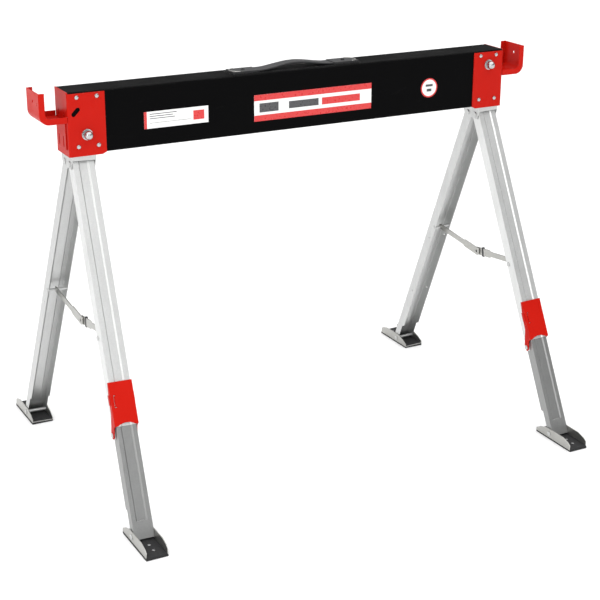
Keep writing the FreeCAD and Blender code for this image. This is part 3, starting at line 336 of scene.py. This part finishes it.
def paint_frame():
    """Every CAD node takes the finish of its slot in the record."""
    for entry in frame["record"]["subparts"]:
        paint(frame["nodes"][entry["node"]], FINISHES[entry["material_slot"]])
    # Lit and shaded copies of the galvanised finish: painted light on the upper front legs, painted shade
    # on the lower front legs.
    lit_steel = galvanised_steel("galvanised_steel_lit", LIT_TONE)
    darker_grey = galvanised_steel("galvanised_steel_shaded", SHADED_TONE)
    for end in ENDS:
        paint(frame["nodes"][f"upper_leg_{end}"], lit_steel)
        paint(frame["nodes"][f"lower_leg_{end}"], darker_grey)


# ---------------------------------------------------------------- added pieces
TURN_STEPS = 40
DOME_STEPS = 7
STRAP_RUNS = 96
STRAP_THICK = 0.0042
STRAP_SAG = 0.0014
STRAP_ROUND = 0.0007
STRAP_BEAD = 0.0024
STRAP_HOLLOW = 0.0008
STRAP_WAIST = 0.16
STRAP_RIB = 0.0006
STRAP_RIB_PITCH = 0.009
RIM_RADIUS = 0.0185
RIM_WIRE = 0.0011
RIM_STEPS = 24
RIM_HALF_TURN = 80
RIM_WIRE_STEPS = 12
CAP_RADIUS = 0.0088
CAP_HEIGHT = 0.0085
CAP_SEAT = 0.0025
CAP_SKIRT = 0.001
RIVET_RISE = 0.0011
RIVET_INSET = 0.0002
RIVET_SKIRT = 0.0001


def add_piece(name, shape, body, slot):
    """Turns a finished bmesh into a smooth-shaded piece that rides on a body."""
    bmesh.ops.recalc_face_normals(shape, faces=shape.faces[:])
    mesh = bpy.data.meshes.new(name)
    shape.to_mesh(mesh)
    shape.free()
    for face in mesh.polygons:
        face.use_smooth = True
    piece = bpy.data.objects.new(name, mesh)
    bpy.context.scene.collection.objects.link(piece)
    paint(piece, FINISHES[slot])
    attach(piece, body)
    return piece


def skin(shape, rings):
    """Joins rings of points, one after another, into a skin with closed ends."""
    rows = [[shape.verts.new(point) for point in ring] for ring in rings]
    count = len(rows[0])
    for row, following in zip(rows, rows[1:]):
        for index in range(count):
            after = (index + 1) % count
            shape.faces.new((row[index], row[after], following[after], following[index]))
    shape.faces.new(rows[0])
    shape.faces.new(rows[-1])


def add_dome(shape, x, y, z, radius, rise, skirt, outward):
    """A round-topped cap on the Y axis: a short straight skirt, then the dome."""
    rings = []
    profile = [(radius, 0.0), (radius, skirt)]
    for step in range(1, DOME_STEPS):
        angle = 0.5 * math.pi * step / DOME_STEPS
        profile.append((radius * math.cos(angle), skirt + rise * math.sin(angle)))
    turns = [2 * math.pi * step / TURN_STEPS for step in range(TURN_STEPS)]
    for reach, height in profile:
        level = y + outward * height
        rings.append([(x + reach * math.cos(turn), level, z + reach * math.sin(turn)) for turn in turns])
    skin(shape, rings)


def loose_boxes(name):
    """Lowest and highest corners of each separate solid in a CAD node."""
    mesh = frame["nodes"][name].data
    keys = [tuple(round(value, 5) for value in vertex.co) for vertex in mesh.vertices]
    parent = {key: key for key in keys}

    def root(key):
        while parent[key] != key:
            parent[key] = parent[parent[key]]
            key = parent[key]
        return key

    for edge in mesh.edges:
        first, second = (root(keys[index]) for index in edge.vertices)
        parent[first] = second
    groups = {}
    for key in parent:
        groups.setdefault(root(key), []).append(key)
    boxes = []
    for points in groups.values():
        columns = list(zip(*points))
        low = Vector([min(column) for column in columns])
        high = Vector([max(column) for column in columns])
        boxes.append((low, high))
    return sorted(boxes, key=lambda corners: tuple(corners[0]))


def make_rivet_domes():
    shape = bmesh.new()
    for low, high in loose_boxes("cap_rivets"):
        centre = (low + high) / 2
        outward = 1 if centre.y > 0 else -1
        face = high.y if outward > 0 else low.y
        radius = (high.z - low.z) / 2 - RIVET_INSET
        add_dome(shape, centre.x, face, centre.z, radius, RIVET_RISE, RIVET_SKIRT, outward)
    add_piece("rivet_domes", shape, "beam", "bright_fasteners")


def make_pivot_caps():
    """Domed caps on the front ends of the two pivot bolts."""
    for end in ENDS:
        low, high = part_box(f"pivot_bolt_{end}")
        shape = bmesh.new()
        centre = (low + high) / 2
        add_dome(shape, centre.x, low.y + CAP_SEAT, centre.z, CAP_RADIUS, CAP_HEIGHT, CAP_SKIRT, -1)
        add_piece(f"pivot_cap_{end}", shape, "beam", "bright_fasteners")


def strap_ring(x, half, bottom, rib):
    """One cross-section of the strap: beaded edges, a hollow inside each, and a low crown."""
    top = bottom + STRAP_THICK
    side = [
        (half - STRAP_ROUND, bottom), (half, bottom + STRAP_ROUND), (half, top - STRAP_ROUND),
        (half - STRAP_ROUND, top), (half - STRAP_BEAD, top), (half - 1.5 * STRAP_BEAD, top - STRAP_HOLLOW),
        (0.4 * half, top - STRAP_HOLLOW + rib), (0.0, top - 0.7 * STRAP_HOLLOW + rib),
    ]
    mirrored = [(-y, z) for y, z in reversed(side[:-1])]
    return [(x, y, z) for y, z in side + mirrored]


def make_handle_strap():
    """Moulded carry strap: an arch between the anchors, with ribs under the palm."""
    low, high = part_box("handle_strap")
    inner = min(corner.x for box in loose_boxes("handle_anchors") for corner in box if corner.x > 0)
    rise = high.z - low.z - STRAP_THICK - STRAP_SAG
    rings = []
    for run in range(STRAP_RUNS + 1):
        x = low.x + (high.x - low.x) * run / STRAP_RUNS
        arch = 0.5 * (1 + math.cos(math.pi * x / inner)) if abs(x) < inner else 0.0
        rib = STRAP_RIB * arch * (0.5 + 0.5 * math.cos(2 * math.pi * x / STRAP_RIB_PITCH))
        half = (high.y - low.y) / 2 * (1 - STRAP_WAIST * arch)
        rings.append(strap_ring(x, half, low.z + rise * arch, rib))
    shape = bmesh.new()
    skin(shape, rings)
    strap = add_piece("carry_strap", shape, "beam", "strap_black")
    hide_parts("handle_strap")


def make_handle_rims():
    """Raised half-round lips around the outer ends of the two strap anchors."""
    low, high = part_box("handle_anchors")
    wire = [2 * math.pi * turn / RIM_WIRE_STEPS for turn in range(RIM_WIRE_STEPS)]
    for end, outward in (("left", -1), ("right", 1)):
        edge = high.x if outward > 0 else low.x
        middle = edge - outward * RIM_RADIUS
        rings = []
        for step in range(RIM_STEPS + 1):
            angle = math.radians(-RIM_HALF_TURN + 2 * RIM_HALF_TURN * step / RIM_STEPS)
            spread = Vector((outward * math.cos(angle), math.sin(angle), 0))
            centre = Vector((middle, 0, high.z)) + RIM_RADIUS * spread
            upward = Vector((0, 0, 1))
            rings.append([centre + RIM_WIRE * (math.cos(turn) * spread + math.sin(turn) * upward)
                          for turn in wire])
        shape = bmesh.new()
        skin(shape, rings)
        add_piece(f"anchor_rim_{end}", shape, "beam", "zinc_plate")


# ---------------------------------------------------------------- studio and camera
CAMERA_PLACE = (-1.380, -2.625, 1.408)
CAMERA_AZIMUTH = 28.04
CAMERA_ELEVATION = 20.38
CAMERA_LENS = 85.98
CAMERA_ROLL = 0.23
FLOOR_SIZE = 90.0
FLOOR_GAP = 0.0004
SKY_POWER = 2.75
SKY_SPREAD = 105
# Side panels: name, place, what it faces, width and height, power.
PANELS = (
    ("key", (-3.4, -2.2, 1.9), (0, 0, 0.45), (2.2, 2.2), 42),
    ("front", (-0.6, -4.2, 2.2), (0, 0, 0.4), (2.4, 1.8), 22),
)
# Sky strength: lowest and highest height of the band, and the strength at each.
SKY_HORIZON = (0.04, 0.2, 0.95, 0.0)
SKY_ZENITH = (0.1, 0.6, 0.05, 0.55)


def make_floor():
    mesh = bpy.data.meshes.new("studio_floor")
    floor_shape = bmesh.new()
    bmesh.ops.create_grid(floor_shape, x_segments=4, y_segments=4, size=FLOOR_SIZE / 2)
    floor_shape.to_mesh(mesh)
    floor_shape.free()
    floor = bpy.data.objects.new("studio_floor", mesh)
    bpy.context.scene.collection.objects.link(floor)
    floor.location.z = -FLOOR_GAP
    finish = Finish("studio_floor", (0.92, 0.92, 0.92), 0.0, 0.9)
    finish.set(Specular_IOR_Level=0.1)
    finish.feed(finish.mix(finish.noise(3, 2.0), (0.91, 0.91, 0.91), (0.93, 0.93, 0.93)), "Base Color")
    paint(floor, finish.material)


def add_light(name, place, target, size, power):
    light = bpy.data.lights.new(name, "AREA")
    light.shape = "RECTANGLE"
    light.size, light.size_y = size
    light.energy = power
    lamp = bpy.data.objects.new(name, light)
    bpy.context.scene.collection.objects.link(lamp)
    lamp.location = place
    lamp.rotation_euler = (Vector(target) - Vector(place)).to_track_quat("-Z", "Y").to_euler()


def add_sky_panel():
    """Very wide overhead light, even over the whole floor."""
    light = bpy.data.lights.new("top", "SUN")
    light.angle = math.radians(SKY_SPREAD)
    light.energy = SKY_POWER
    bpy.context.scene.collection.objects.link(bpy.data.objects.new("top", light))


def sky_band(nodes, links, height, limits):
    """A value that runs from one strength to another between two heights in the sky."""
    ramp = nodes.new("ShaderNodeMapRange")
    links.new(height, ramp.inputs["Value"])
    for name, number in zip(("From Min", "From Max", "To Min", "To Max"), limits):
        ramp.inputs[name].default_value = number
    return ramp.outputs["Result"]


def make_lights():
    """A pale sky with a dimmer band above the horizon, a wide overhead light and two side panels."""
    world = bpy.data.worlds.new("studio")
    world.use_nodes = True
    nodes, links = world.node_tree.nodes, world.node_tree.links
    split = nodes.new("ShaderNodeSeparateXYZ")
    links.new(nodes.new("ShaderNodeTexCoord").outputs["Generated"], split.inputs["Vector"])
    total = nodes.new("ShaderNodeMath")
    total.operation = "ADD"
    links.new(sky_band(nodes, links, split.outputs["Z"], SKY_HORIZON), total.inputs[0])
    links.new(sky_band(nodes, links, split.outputs["Z"], SKY_ZENITH), total.inputs[1])
    links.new(total.outputs["Value"], nodes["Background"].inputs["Strength"])
    nodes["Background"].inputs["Color"].default_value = (1.0, 1.0, 1.0, 1)
    bpy.context.scene.world = world
    add_sky_panel()
    for name, place, target, size, power in PANELS:
        add_light(name, place, target, size, power)


def make_camera():
    camera = bpy.data.objects.new("camera", bpy.data.cameras.new("camera"))
    camera.data.lens = CAMERA_LENS
    camera.data.sensor_width = 36.0
    camera.location = CAMERA_PLACE
    heading = Matrix.Rotation(math.radians(-CAMERA_AZIMUTH), 3, "Z")
    pitch = Matrix.Rotation(math.radians(90 - CAMERA_ELEVATION), 3, "X")
    roll = Matrix.Rotation(math.radians(CAMERA_ROLL), 3, "Z")
    camera.rotation_euler = (heading @ pitch @ roll).to_euler()
    bpy.context.scene.collection.objects.link(camera)
    bpy.context.scene.camera = camera


paint_frame()
make_rivet_domes()
make_pivot_caps()
make_handle_strap()
make_handle_rims()
make_floor()
make_lights()
make_camera()
bpy.context.scene.view_settings.view_transform = "Standard"
